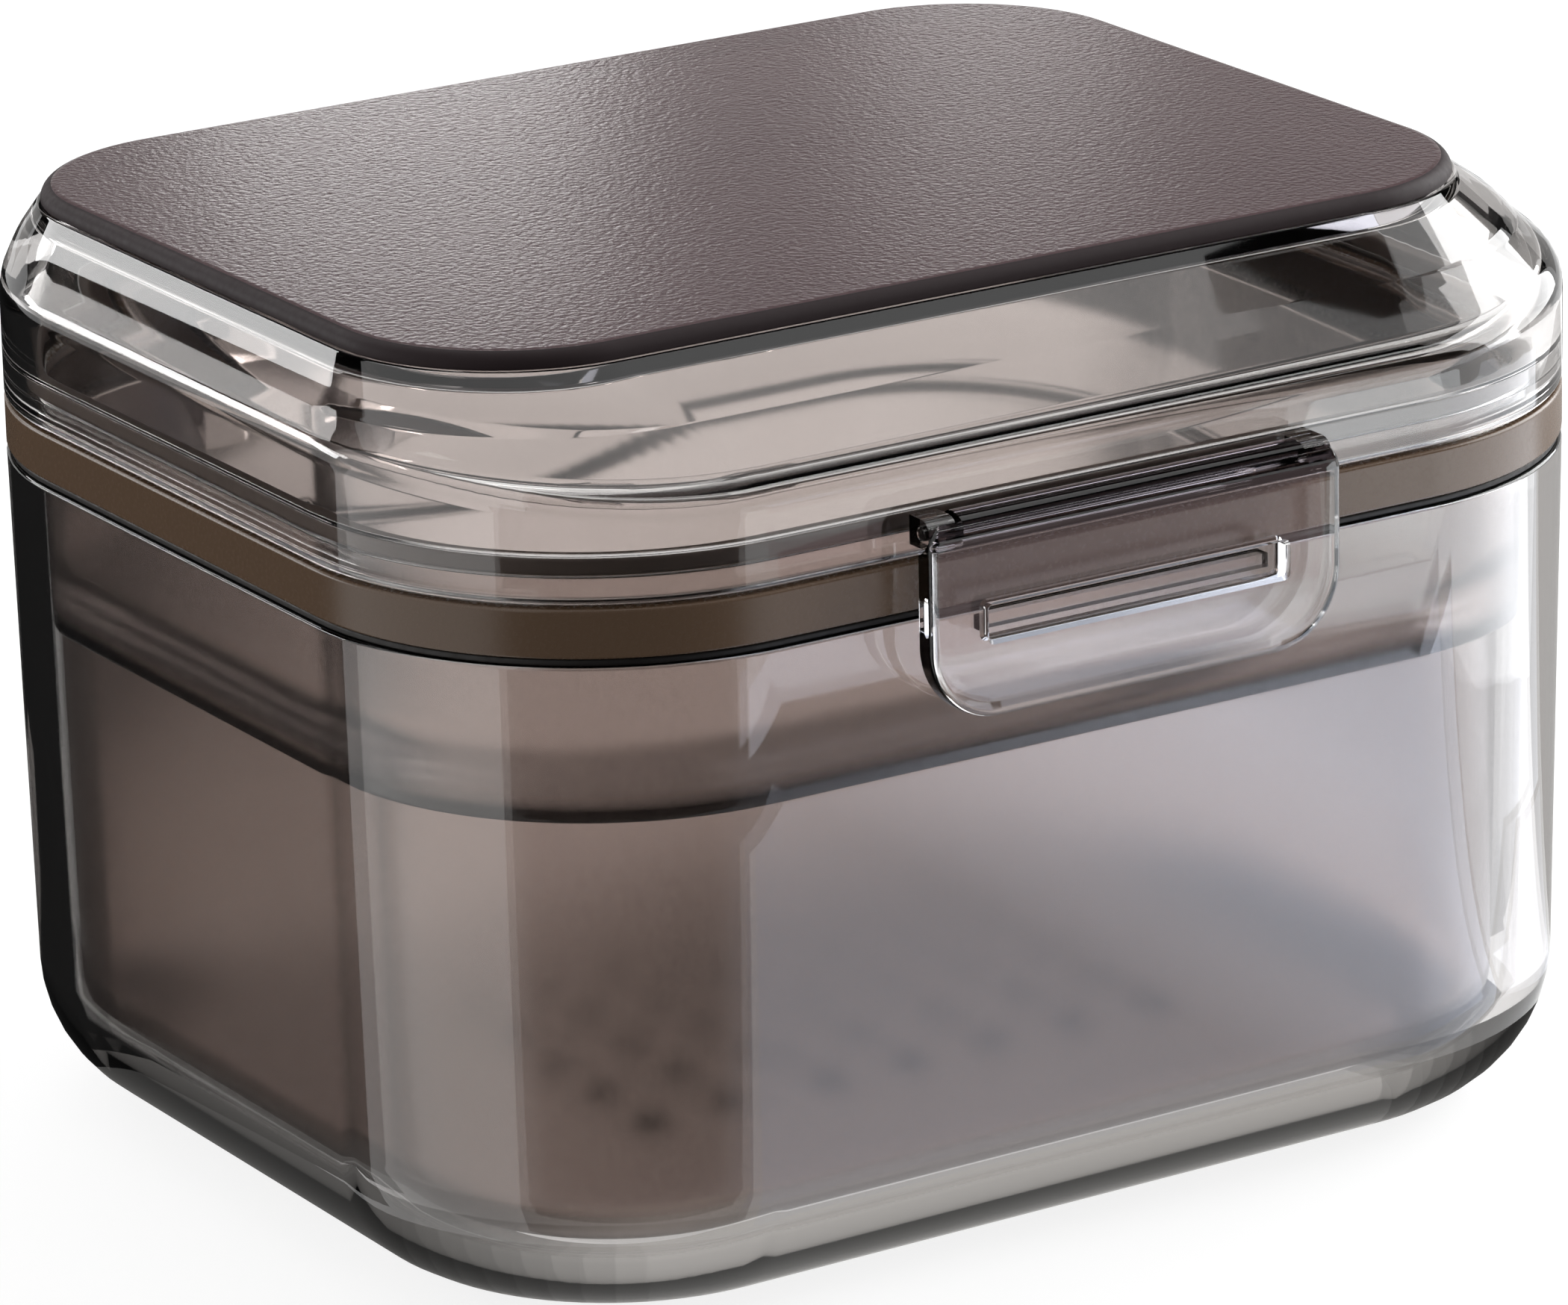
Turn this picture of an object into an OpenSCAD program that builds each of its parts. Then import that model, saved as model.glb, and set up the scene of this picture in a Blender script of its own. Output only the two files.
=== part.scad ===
// A smoky clear case for a dental retainer: a thick clear tub with a drain basket hung in it,
// and a hinged clear lid with a frosted panel, held shut by a flap latch on the front.
// The middle of the tub's flat foot is the origin, +Z is up and the latch faces -Y.

/* [Tub] */
// Width of the tub from end to end
case_w = 100; // [84:1:140]
// Depth of the tub from front wall to back wall
case_d = 85; // [76:1:120]
// Plan radius of the upright corners
corner_r = 23; // [20:0.5:27]
// Height of the tub to its rim
case_h = 49.4; // [42:0.2:70]
// Thickness of the clear wall
case_wall = 2.4; // [1.8:0.1:3]
// Thickness of the clear floor
case_floor = 3.2; // [2.2:0.1:4.4]
// Radius of the rounded edge round the foot
foot_r = 10.5; // [8:0.5:12]
// How far the wall leans in from rim to foot
lean_in = 0.75; // [0.3:0.05:1.5]

/* [Rim seal] */
// Thickness of the dark ring that lies on the tub's rim
rim_seal_t = 0.6; // [0.4:0.1:1.2]
// How far the ring sits back from the outer wall
rim_seal_back = 0.25; // [0.1:0.05:0.6]

/* [Drain basket] */
// Height of the brown band that shows between tub and lid
band_h = 3.5; // [2.6:0.1:6]
// Thickness of the basket's wall
basket_wall = 1.6; // [1.2:0.1:2]
// Thickness of the basket's floor
basket_floor = 1.6; // [1:0.1:2.4]
// Clearance between the basket's sleeve and the tub
basket_gap = 0.4; // [0.3:0.05:0.7]
// Height of the wide sleeve under the band
sleeve_h = 12.4; // [8:0.2:20]
// How far the basket steps in under the sleeve
step_in = 1.6; // [1:0.1:2.6]
// Height over which the inner wall runs out above the step
ramp_h = 4.5; // [2:0.1:7]
// Gap between the basket's floor and the tub's floor
basket_lift = 1; // [0.5:0.1:3]
// Radius of the rounded edge under the basket
basket_r = 6; // [4:0.5:7.5]
// Height of the collar that stands up inside the lid
collar_h = 1.8; // [1.2:0.1:4]
// Clearance between the collar and the lid's wall
collar_gap = 0.4; // [0.3:0.05:0.8]
// Diameter of a drain hole
drain_d = 3; // [2:0.25:4.5]
// Spacing of the drain holes
drain_pitch = 7; // [6:0.5:10]

/* [Lid] */
// Height of the upright wall at the sides and back, from its lower edge to the turn of the slope
lid_wall_h = 8.5; // [8:0.1:16]
// How much lower the slope turns at the front
front_dip = 1.2; // [0.2:0.1:1.5]
// Rise of the slope at the sides and back
slope_h = 5.05; // [4:0.05:9]
// How far the slope runs in at the sides and back
slope_in = 4.6; // [4:0.1:8]
// How far the slope runs in at the front
front_in = 12.8; // [9:0.1:16]
// Plan radius of the slope's upper edge
brow_r = 14; // [10:0.5:17]
// Radius where the wall turns into the slope
shoulder_r = 3.3; // [2.8:0.1:4]
// Thickness of the clear lid wall
lid_wall = 2.4; // [1.8:0.1:3]
// Clearance between the lid's lower edge and the band
lid_gap = 0.15; // [0.1:0.05:0.4]

/* [Lid panel] */
// Width of the clear rim that carries the panel
rim_w = 3; // [2:0.1:5]
// Thickness of the frosted panel above the rim
panel_t = 1.3; // [1:0.1:2.4]
// Radius of the panel's upper edge
panel_edge_r = 0.8; // [0.2:0.1:1]
// How far the panel's edge sits back from the slope's upper edge
panel_back = 0.2; // [0.1:0.05:0.6]
// Depth of the panel's plug in the opening of the lid
plug_h = 1.6; // [0.8:0.1:2]
// Clearance round the plug
panel_gap = 0.15; // [0.1:0.05:0.3]

/* [Lid seal] */
// Height of the seal ring in the lid
seal_h = 1.4; // [1:0.1:2]
// Width of the seal ring
seal_w = 2; // [1.4:0.1:3]
// Depth of the groove that holds the seal in the lid's wall
groove_d = 0.8; // [0.5:0.1:1]
// Clearance between the seal and its groove
seal_fit = 0.1; // [0.05:0.05:0.2]
// Clearance between the closed seal and the collar under it
seal_gap = 0.15; // [0.1:0.05:0.3]

/* [Latch] */
// Width of the flap
latch_w = 34; // [28:0.5:40]
// Height of the flap from its pin's axis to its lower edge
latch_drop = 13.45; // [12.5:0.05:16]
// Height of the flap above its pin's axis
latch_rise = 1.15; // [0.7:0.05:1.2]
// Thickness of the flap
latch_t = 1.85; // [1.8:0.05:2.6]
// Radius of the flap's lower corners
latch_low_r = 5.5; // [2:0.25:7]
// Radius of the flap's upper corners
latch_top_r = 2.2; // [0.6:0.1:3]
// Height of the pin's axis above the lid's lower edge
latch_pin_up = 2.2; // [1.8:0.1:3]
// Distance of the pin's axis from the lid's wall
latch_out = 1.45; // [1.4:0.05:1.8]
// Diameter of the latch pin
latch_pin_d = 1; // [0.8:0.1:1.2]
// Radius of the knuckle behind the flap
latch_knuckle_r = 1.25; // [1.1:0.05:1.3]
// Radius of the lid's lugs at the ends of the pin
lug_r = 1.05; // [0.95:0.05:1.1]
// Width of one lug
lug_w = 2.2; // [2:0.1:5]
// How far a lug stops short of the flap's end
lug_inset = 0.4; // [0.2:0.1:1]
// Clearance round the lugs in the flap
lug_gap = 0.25; // [0.2:0.05:0.35]
// Width of the slot in the flap
slot_w = 24.6; // [16:0.2:26]
// Height of the slot
slot_h = 2.5; // [2:0.1:4]
// Height of the catch rib on the tub
catch_h = 1; // [0.6:0.1:1.4]
// Distance of the catch rib under the tub's rim
catch_drop = 0.25; // [0.1:0.05:1]
// Clearance between the catch rib and the slot's lower and side edges
catch_gap = 0.25; // [0.2:0.05:0.5]
// How far the catch rib stops short of the hanging flap
catch_short = 0.15; // [0.1:0.05:0.3]

/* [Hinge] */
// Distance of each hinge from the middle
hinge_x = 16; // [12:0.5:18]
// Distance of the hinge axis behind the back wall
hinge_out = 2.9; // [2.7:0.1:4]
// Outer radius of the knuckles
hinge_r = 2.3; // [1.8:0.1:2.4]
// Diameter of a hinge pin
hinge_pin_d = 2; // [1.4:0.1:2.4]
// Width of the lid's knuckle
knuckle_w = 8; // [5:0.5:10]
// Width of one ear on the tub
ear_w = 3.5; // [2:0.1:4]
// Gap between a knuckle and an ear
hinge_side_gap = 0.3; // [0.2:0.05:0.6]
// Height of the ear's gusset under the axis
ear_h = 10; // [8:0.5:16]
// Height of the lid's arm above the axis
arm_h = 8.2; // [6:0.1:10]
// Radial clearance of a pin that turns in its bore
turn_fit = 0.04; // [0.02:0.01:0.08]
// Radial clearance of a pin that is held in its bore
held_fit = 0.02; // [0.01:0.01:0.05]

/* [Hidden] */
$fn = 72;

// Colours of the plastics, the seals and the pins
clear_smoke = [0.55, 0.51, 0.5, 0.4];
frosted_smoke = [0.48, 0.43, 0.41, 0.8];
seal_dark = [0.13, 0.11, 0.1];
steel = [0.72, 0.72, 0.74];
pin_smoke = [0.2, 0.17, 0.16];

// Distances from the middle to the axes of the upright corners
axis_x = case_w / 2 - corner_r;
axis_y = case_d / 2 - corner_r;
front_y = -case_d / 2;
back_y = case_d / 2;
// Lean of the tub's wall in degrees
lean = atan(lean_in / case_h);

// Heights of the stack from the tub's rim to the panel
band_z = case_h + rim_seal_t;
band_top = band_z + band_h;
lid_z = band_top + lid_gap;
shoulder_z = lid_z + lid_wall_h;
front_turn_z = shoulder_z - front_dip;
lid_top = shoulder_z + slope_h;
ceiling_z = lid_top - lid_wall;
panel_top = lid_top + panel_t;
seat_z = band_top + collar_h + seal_gap + seal_h;
basket_z = case_floor + basket_lift;
step_z = band_z - sleeve_h;

// Distances out from the corner axes
lid_in = corner_r - lid_wall;
collar_out = lid_in - collar_gap;
seal_out = lid_in + groove_d - seal_fit;
// Plan of the slope's upper edge: its corner axes, its middle and the opening for the panel
brow_x = case_w / 2 - slope_in - brow_r;
brow_y = (case_d - slope_in - front_in) / 2 - brow_r;
brow_mid = (front_in - slope_in) / 2;
opening_out = brow_r - rim_w;
// Angles of the lid's slope, at the sides and back and at the front
side_a = atan(slope_h / slope_in);
front_a = atan((slope_h + front_dip) / front_in);

// Places of the latch and the hinge
latch_y = front_y - latch_out;
latch_z = lid_z + latch_pin_up;
pocket_r = lug_r + lug_gap;
lug_end = latch_w / 2 - lug_inset;
knuckle_half = lug_end - lug_w - lug_gap;
catch_z = case_h - catch_drop - catch_h;
slot_z = catch_z - catch_gap;
hinge_y = back_y + hinge_out;
hinge_z = (band_z + band_top) / 2;
ear_x = knuckle_w / 2 + hinge_side_gap;
hinge_pin_l = 2 * (ear_x + ear_w);

// How deep a rib, lug, ear or arm is rooted in its wall
root = 0.6;
// How far an ear or arm stays clear of the seam
seam_gap = 0.3;
// Overshoot of a cut past the face it opens
over = 1;
// How far the domed top of the lid laps down inside its upright wall, and its play there
lap = 0.3;
skin = 0.02;
// Levels in each rounded turn of the dome
turn_steps = 3;

// Distance of the tub's inner face from the corner axis, at height z
function case_in(z) = corner_r - lean_in - case_wall / cos(lean) + z * tan(lean);
// The same for the basket's sleeve and for its lower wall
function sleeve_out(z) = case_in(z) - basket_gap;
function low_out(z) = sleeve_out(z) - step_in;

// How far a rounded turn from wall to slope reaches along each face
function turn_run(a, r) = r * tan((90 - a) / 2);
// How far a face has come in at height z: upright wall, rounded turn, then slope
function turned_in(z, turn_z, a, r) =
    let (run = turn_run(a, r), up = z - turn_z + run)
    up <= 0 ? 0 :
    up < r * cos(a) ? r - sqrt(r * r - up * up) :
    (z - turn_z) / tan(a);
// Heights through one rounded turn
function turn_levels(turn_z, a, r) =
    [for (k = [0:turn_steps]) turn_z - turn_run(a, r) + k / turn_steps * r * cos(a)];
// Height at which the inner faces turn, one wall thickness inside the outer ones
function inner_turn(turn_z, a) = turn_z - lid_wall * (1 - sin(a)) / cos(a);

// A half section swept round a rounded plan: four turned corners and four straight sides
module around(at_x = axis_x, at_y = axis_y) {
    ends = [[1, 1], [-1, 1], [-1, -1], [1, -1]];
    for (k = [0:3])
        translate([ends[k][0] * at_x, ends[k][1] * at_y, 0])
            rotate([0, 0, 90 * k]) {
                rotate_extrude(angle = 90) children();
                rotate([90, 0, 0]) linear_extrude(2 * (k % 2 == 0 ? at_y : at_x)) children();
            }
}

// The flat middle between the corner axes
module middle(z, t, at_x = axis_x, at_y = axis_y) {
    translate([-at_x, -at_y, z]) cube([2 * at_x, 2 * at_y, t]);
}

// Half section of a filled tub: flat floor, rounded lower edge and leaning wall
module tub_half(out, h, edge_r) {
    turn_x = out + edge_r * tan(lean) - edge_r / cos(lean);
    polygon([
        [0, 0],
        [turn_x, 0],
        [turn_x + edge_r * cos(lean), edge_r * (1 - sin(lean))],
        [out + h * tan(lean), h],
        [0, h]
    ]);
    intersection() {
        translate([turn_x, edge_r]) circle(edge_r);
        translate([turn_x, 0]) square(edge_r);
    }
}

// A section in the YZ plane, drawn out along X from x
module along_x(x, length) {
    translate([x, 0, 0]) rotate([90, 0, 90]) linear_extrude(length) children();
}

module rod_x(x, length, y, z, r) {
    along_x(x, length) translate([y, z]) circle(r);
}

module tub_section() {
    difference() {
        tub_half(corner_r - lean_in, case_h, foot_r);
        translate([0, case_floor]) tub_half(case_in(case_floor), case_h, foot_r - case_floor);
    }
}

// One ear of the tub's hinge: a barrel on a gusset that stays clear of the seam
module ear_section() {
    translate([hinge_y, hinge_z]) circle(hinge_r);
    polygon([
        [back_y - root, hinge_z - ear_h],
        [back_y - root, case_h - seam_gap],
        [hinge_y - hinge_r, case_h - seam_gap],
        [hinge_y - hinge_r, hinge_z],
        [hinge_y + hinge_r, hinge_z],
        [hinge_y + hinge_r, hinge_z - hinge_r]
    ]);
}

module outer_case() {
    color(clear_smoke)
        difference() {
            union() {
                around() tub_section();
                middle(0, case_floor);
                // Catch rib for the latch
                catch_w = slot_w - 2 * catch_gap;
                catch_l = latch_out - catch_short + root;
                translate([-catch_w / 2, front_y + root - catch_l, catch_z])
                    cube([catch_w, catch_l, catch_h]);
                // Hinge ears
                for (side = [-1, 1], end = [-ear_x - ear_w, ear_x])
                    along_x(side * hinge_x + end, ear_w) ear_section();
            }
            for (side = [-1, 1])
                rod_x(side * hinge_x - hinge_pin_l, 2 * hinge_pin_l, hinge_y, hinge_z,
                      hinge_pin_d / 2 + held_fit);
        }
}

module rim_seal() {
    color(seal_dark)
        around()
            translate([corner_r - case_wall, case_h])
                square([case_wall - rim_seal_back, rim_seal_t]);
}

module basket_section() {
    sleeve_in = sleeve_out(band_z) - basket_wall;
    floor_top = basket_z + basket_floor;
    step_floor = step_z + basket_wall / 2;
    ramp_top = step_floor + ramp_h;
    difference() {
        union() {
            translate([0, basket_z]) tub_half(low_out(basket_z), band_z - basket_z, basket_r);
            polygon([
                [0, step_z],
                [sleeve_out(step_z), step_z],
                [sleeve_out(band_z), band_z],
                [0, band_z]
            ]);
            translate([0, band_z]) square([corner_r, band_h]);
            translate([0, band_z]) square([collar_out, band_h + collar_h]);
        }
        translate([0, floor_top])
            tub_half(low_out(floor_top) - basket_wall, band_top + collar_h, basket_r - basket_wall);
        polygon([
            [0, step_floor],
            [low_out(step_floor) - basket_wall, step_floor],
            [sleeve_out(ramp_top) - basket_wall, ramp_top],
            [sleeve_in, band_z],
            [sleeve_in, band_top + collar_h + over],
            [0, band_top + collar_h + over]
        ]);
    }
}

module drain_basket() {
    columns = floor(axis_x / drain_pitch);
    rows = floor(axis_y / drain_pitch);
    color(frosted_smoke)
        difference() {
            union() {
                around() basket_section();
                middle(basket_z, basket_floor);
            }
            for (i = [-columns:columns], j = [-rows:rows])
                translate([i * drain_pitch, j * drain_pitch, basket_z - over])
                    cylinder(d = drain_d, h = basket_floor + 2 * over);
        }
}

// Upright wall of the lid with the groove for the seal
module lid_section(wall_top) {
    difference() {
        translate([lid_in, lid_z]) square([lid_wall, wall_top - lid_z]);
        translate([lid_in - over, seat_z - seal_h - seal_fit]) square([over + groove_d, seal_h + seal_fit]);
    }
}

// A filled dome that stands in by the given amount from the lid's wall and slope
module dome(back, side_z, front_z, turn_r, low, high) {
    levels = concat([low, high], turn_levels(side_z, side_a, turn_r), turn_levels(front_z, front_a, turn_r));
    hull()
        for (z = levels, x = [-1, 1], y = [-1, 1]) {
            side = turned_in(z, side_z, side_a, turn_r);
            ahead = y < 0 ? turned_in(z, front_z, front_a, turn_r) : side;
            share = ahead / (y < 0 ? front_in : slope_in);
            r = corner_r - back - share * (corner_r - brow_r);
            translate([x * (case_w / 2 - back - side - r), y * (case_d / 2 - back - ahead - r), z - skin])
                cylinder(r = r, h = skin, $fn = 36);
        }
}

// Sloped top of the lid, open in the middle for the panel's plug
module lid_top_shell(wall_top) {
    difference() {
        dome(skin, shoulder_z, front_turn_z, shoulder_r, wall_top - lap, lid_top);
        dome(lid_wall - 6 * skin, inner_turn(shoulder_z, side_a), inner_turn(front_turn_z, front_a),
             shoulder_r - lid_wall, wall_top - lap - over, ceiling_z);
        translate([0, brow_mid, 0]) {
            around(brow_x, brow_y)
                translate([0, ceiling_z - over]) square([opening_out, lid_wall + 2 * over]);
            middle(ceiling_z - over, lid_wall + 2 * over, brow_x, brow_y);
        }
    }
}

// One lid knuckle of the hinge, on an arm that stays clear of the seam
module arm_section() {
    translate([hinge_y, hinge_z]) circle(hinge_r);
    polygon([
        [back_y - root, hinge_z + arm_h],
        [back_y - root, lid_z + seam_gap],
        [hinge_y - hinge_r, lid_z + seam_gap],
        [hinge_y - hinge_r, hinge_z],
        [hinge_y + hinge_r, hinge_z],
        [hinge_y + hinge_r, hinge_z + hinge_r]
    ]);
}

// One lug that holds an end of the latch pin
module lug_section() {
    translate([latch_y, latch_z]) circle(lug_r);
    translate([latch_y, latch_z - lug_r]) square([latch_out + root, 2 * lug_r]);
}

module lid_shell() {
    color(clear_smoke)
        difference() {
            union() {
                wall_top = front_turn_z - turn_run(front_a, shoulder_r) - lap;
                around() lid_section(wall_top);
                lid_top_shell(wall_top);
                for (x = [-lug_end, lug_end - lug_w])
                    along_x(x, lug_w) lug_section();
                for (side = [-1, 1])
                    along_x(side * hinge_x - knuckle_w / 2, knuckle_w) arm_section();
            }
            rod_x(-lug_end - over, 2 * (lug_end + over), latch_y, latch_z,
                  latch_pin_d / 2 + held_fit);
            for (side = [-1, 1])
                rod_x(side * hinge_x - hinge_pin_l / 2, hinge_pin_l, hinge_y, hinge_z,
                      hinge_pin_d / 2 + turn_fit);
        }
}

module panel_section() {
    panel_out = brow_r - panel_back;
    edge_x = panel_out - panel_edge_r;
    translate([0, lid_top]) square([edge_x, panel_t]);
    translate([0, lid_top]) square([panel_out, panel_t - panel_edge_r]);
    translate([0, lid_top - plug_h]) square([opening_out - panel_gap, plug_h]);
    intersection() {
        translate([edge_x, panel_top - panel_edge_r]) circle(panel_edge_r);
        translate([edge_x, panel_top - panel_edge_r]) square(panel_edge_r);
    }
}

module lid_panel() {
    color(frosted_smoke)
        translate([0, brow_mid, 0]) {
            around(brow_x, brow_y) panel_section();
            middle(lid_top - plug_h, panel_t + plug_h, brow_x, brow_y);
        }
}

module lid_seal() {
    color(seal_dark)
        around() translate([seal_out - seal_w, seat_z - seal_h]) square([seal_w, seal_h]);
}

// Front outline of the flap about its pin's axis, with small corners above and large ones below
module flap_outline() {
    half = latch_w / 2;
    for (side = [-1, 1]) {
        translate([side * (half - latch_low_r), latch_low_r - latch_drop]) circle(latch_low_r);
        translate([side * (half - latch_top_r), latch_rise - latch_top_r]) circle(latch_top_r);
    }
    translate([latch_low_r - half, -latch_drop])
        square([latch_w - 2 * latch_low_r, latch_drop]);
    translate([-half, latch_low_r - latch_drop])
        square([latch_w, latch_drop + latch_rise - latch_low_r - latch_top_r]);
    translate([latch_top_r - half, -latch_top_r])
        square([latch_w - 2 * latch_top_r, latch_top_r + latch_rise]);
}

module latch() {
    color(clear_smoke)
        difference() {
            union() {
                translate([0, latch_y, latch_z]) rotate([90, 0, 0])
                    linear_extrude(latch_t) flap_outline();
                rod_x(-knuckle_half, 2 * knuckle_half, latch_y, latch_z, latch_knuckle_r);
            }
            // Slot for the catch rib
            translate([-slot_w / 2, latch_y - latch_t - over, slot_z])
                cube([slot_w, latch_t + 2 * over, slot_h]);
            // Room for the lugs, open above and behind
            for (x = [-latch_w / 2 - over, knuckle_half]) {
                pocket_l = latch_w / 2 + over - knuckle_half;
                rod_x(x, pocket_l, latch_y, latch_z, pocket_r);
                translate([x, latch_y - pocket_r, latch_z])
                    cube([pocket_l, 2 * pocket_r, latch_rise + over]);
            }
            rod_x(-latch_w / 2, latch_w, latch_y, latch_z, latch_pin_d / 2 + turn_fit);
        }
}

module latch_pin() {
    color(pin_smoke) rod_x(-lug_end, 2 * lug_end, latch_y, latch_z, latch_pin_d / 2);
}

module hinge_pin(side) {
    color(steel)
        rod_x(side * hinge_x - hinge_pin_l / 2, hinge_pin_l, hinge_y, hinge_z, hinge_pin_d / 2);
}

module hinge_pin_left() {
    hinge_pin(-1);
}

module hinge_pin_right() {
    hinge_pin(1);
}

outer_case();
rim_seal();
drain_basket();
lid_shell();
lid_panel();
lid_seal();
latch();
latch_pin();
hinge_pin_left();
hinge_pin_right();
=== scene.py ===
"""Looks of a smoky clear retainer case: clear tub, lid and latch, frosted basket and plate, seals, pins."""
import math

import bmesh
import bpy
from mathutils import Matrix, Quaternion, Vector


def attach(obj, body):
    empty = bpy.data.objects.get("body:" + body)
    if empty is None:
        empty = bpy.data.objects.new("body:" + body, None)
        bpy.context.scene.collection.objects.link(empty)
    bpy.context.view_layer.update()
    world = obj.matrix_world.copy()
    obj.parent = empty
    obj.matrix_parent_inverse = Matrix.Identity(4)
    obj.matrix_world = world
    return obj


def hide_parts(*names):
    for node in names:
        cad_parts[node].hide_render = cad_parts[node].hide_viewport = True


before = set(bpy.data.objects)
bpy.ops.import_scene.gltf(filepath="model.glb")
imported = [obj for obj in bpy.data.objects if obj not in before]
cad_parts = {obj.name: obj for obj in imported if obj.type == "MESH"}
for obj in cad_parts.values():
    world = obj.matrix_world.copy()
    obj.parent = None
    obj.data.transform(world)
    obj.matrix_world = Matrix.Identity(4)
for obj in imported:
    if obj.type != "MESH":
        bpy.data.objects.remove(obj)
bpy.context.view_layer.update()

# Lengths below are in millimetres, and MM brings them into Blender's metres
MM = 0.001
TO_METRES = Matrix.Scale(MM, 4)

# Plan of the case: the axes of its upright corners
CASE_W = 100.0
CASE_D = 85.0
CORNER_R = 23.0
AXIS_X = CASE_W / 2 - CORNER_R
AXIS_Y = CASE_D / 2 - CORNER_R
FRONT_Y = -CASE_D / 2
BACK_Y = CASE_D / 2

# Tub
CASE_H = 49.4
CASE_WALL = 2.4
CASE_FLOOR = 3.2
FOOT_R = 10.5
LEAN_IN = 0.75
LEAN = LEAN_IN / CASE_H

# Basket and its brown band
RIM_SEAL_T = 0.6
RIM_SEAL_BACK = 0.25
BAND_Z = CASE_H + RIM_SEAL_T
BAND_H = 3.5
BAND_TOP = BAND_Z + BAND_H
BASKET_WALL = 1.6
BASKET_FLOOR = 1.6
BASKET_GAP = 0.4
BASKET_LIFT = 1.0
BASKET_Z = CASE_FLOOR + BASKET_LIFT
BASKET_R = 6.0
STEP_IN = 1.6
SLEEVE_H = 12.4
STEP_Z = BAND_Z - SLEEVE_H
RAMP_H = 4.5
COLLAR_H = 1.8
COLLAR_TOP = BAND_TOP + COLLAR_H
COLLAR_GAP = 0.4
DRAIN_D = 3.0
DRAIN_PITCH = 7.0

# Lid: upright wall, rounded turn and slope, which is wider and turns lower at the front
LID_GAP = 0.15
LID_Z = BAND_TOP + LID_GAP
LID_WALL = 2.4
LID_IN = CORNER_R - LID_WALL
LID_WALL_H = 8.5
TURN_Z = LID_Z + LID_WALL_H
FRONT_DIP = 1.2
FRONT_TURN_Z = TURN_Z - FRONT_DIP
SLOPE_H = 5.05
LID_TOP = TURN_Z + SLOPE_H
SLOPE_IN = 4.6
FRONT_IN = 12.8
SHOULDER_R = 3.3
SIDE_BULGE = 0.3
FRONT_BULGE = 0.05
BULGE_R = 12.0
CEILING_Z = LID_TOP - LID_WALL

# Upper edge of the slope, and the panel that covers it
BROW_R = 14.0
BROW_X = CASE_W / 2 - SLOPE_IN - BROW_R
BROW_Y = (CASE_D - SLOPE_IN - FRONT_IN) / 2 - BROW_R
BROW_MID = (FRONT_IN - SLOPE_IN) / 2
RIM_W = 3.0
PANEL_T = 1.3
PANEL_TOP = LID_TOP + PANEL_T
PANEL_BACK = 0.2
PANEL_EDGE_R = 1.15
PLUG_H = 1.6
PANEL_GAP = 0.15

# Seal in the lid, and the groove that holds it
SEAL_H = 1.4
SEAL_W = 2.0
SEAL_FIT = 0.1
SEAL_GAP = 0.15
SEAT_Z = COLLAR_TOP + SEAL_GAP + SEAL_H
GROOVE_D = 0.8

# Latch flap on its pin, with the catch rib on the tub
LATCH_W = 34.0
LATCH_DROP = 13.45
LATCH_RISE = 1.15
LATCH_T = 1.85
LATCH_LOW_R = 5.5
LATCH_TOP_R = 2.2
LATCH_BROW_R = 1.5
LATCH_OUT = 1.45
LATCH_Y = FRONT_Y - LATCH_OUT
LATCH_PIN_UP = 2.2
LATCH_Z = LID_Z + LATCH_PIN_UP
LATCH_PIN_R = 0.5
LATCH_KNUCKLE_R = 1.25
LUG_R = 1.05
LUG_W = 2.2
LUG_GAP = 0.25
LUG_INSET = 0.4
LUG_END = LATCH_W / 2 - LUG_INSET
KNUCKLE_HALF = LUG_END - LUG_W - LUG_GAP
SLOT_W = 24.6
SLOT_H = 2.5
CATCH_H = 1.0
CATCH_GAP = 0.25
CATCH_SHORT = 0.15
CATCH_DROP = 0.25
CATCH_Z = CASE_H - CATCH_DROP - CATCH_H
SLOT_Z = CATCH_Z - CATCH_GAP

# Hinge on the back
HINGE_X = 16.0
HINGE_R = 2.3
HINGE_PIN_R = 1.0
HINGE_OUT = 2.9
HINGE_Y = BACK_Y + HINGE_OUT
HINGE_Z = (BAND_Z + BAND_TOP) / 2
KNUCKLE_W = 8.0
EAR_W = 3.5
HINGE_SIDE_GAP = 0.3
EAR_X = KNUCKLE_W / 2 + HINGE_SIDE_GAP
EAR_H = 10.0
ARM_H = 8.2
PIN_HALF = EAR_X + EAR_W
EAR_BORE_HALF = PIN_HALF * 4 / 3
TURN_FIT = 0.04
HELD_FIT = 0.02

# Roundings and chamfers of the edges
TUB_LIP_IN_R = 0.3
TUB_LIP_OUT_R = 0.25
RAMP_R = 6.0
COLLAR_EDGE_R = 0.4
BAND_EDGE_R = 0.25
BAND_FOOT_R = 0.2
SLEEVE_ROOT_R = 0.1
STEP_EDGE_R = 0.5
LID_LIP_OUT_R = 0.5
LID_LIP_IN_R = 0.4
BROW_EDGE_R = 0.6
RIM_TOP_R = 0.3
RIM_FOOT_R = 0.4
CEILING_R = 1.2
GROOVE_EDGE_R = 0.15
PANEL_FOOT_R = 0.15
PLUG_ROOT_R = 0.1
PLUG_EDGE_R = 0.3
LID_SEAL_R = 0.4
RIM_SEAL_R = 0.2
FLAP_BACK_R = 0.3
FLAP_FRONT_R = 0.6
SLOT_EDGE = 0.25
SLOT_CORNER_R = 0.35
HEEL_R = 1.0
LATCH_PIN_EDGE = 0.12
HINGE_PIN_EDGE = 0.25
# Keeps two roundings of one tip from meeting in a point
NEARLY = 0.999

# Which faces of the basket are the band, the inside of the collar and the holes' walls, which take painted
# shade
BAND_DEPTH = 2.7
BAND_SLACK = 0.01
COLLAR_SKIN = 0.3
HOLE_TILT = 0.5
# A face of the panel takes the painted shade of its edge where the height of its normal is under this
PANEL_SHADE_TILT = 0.93

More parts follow.
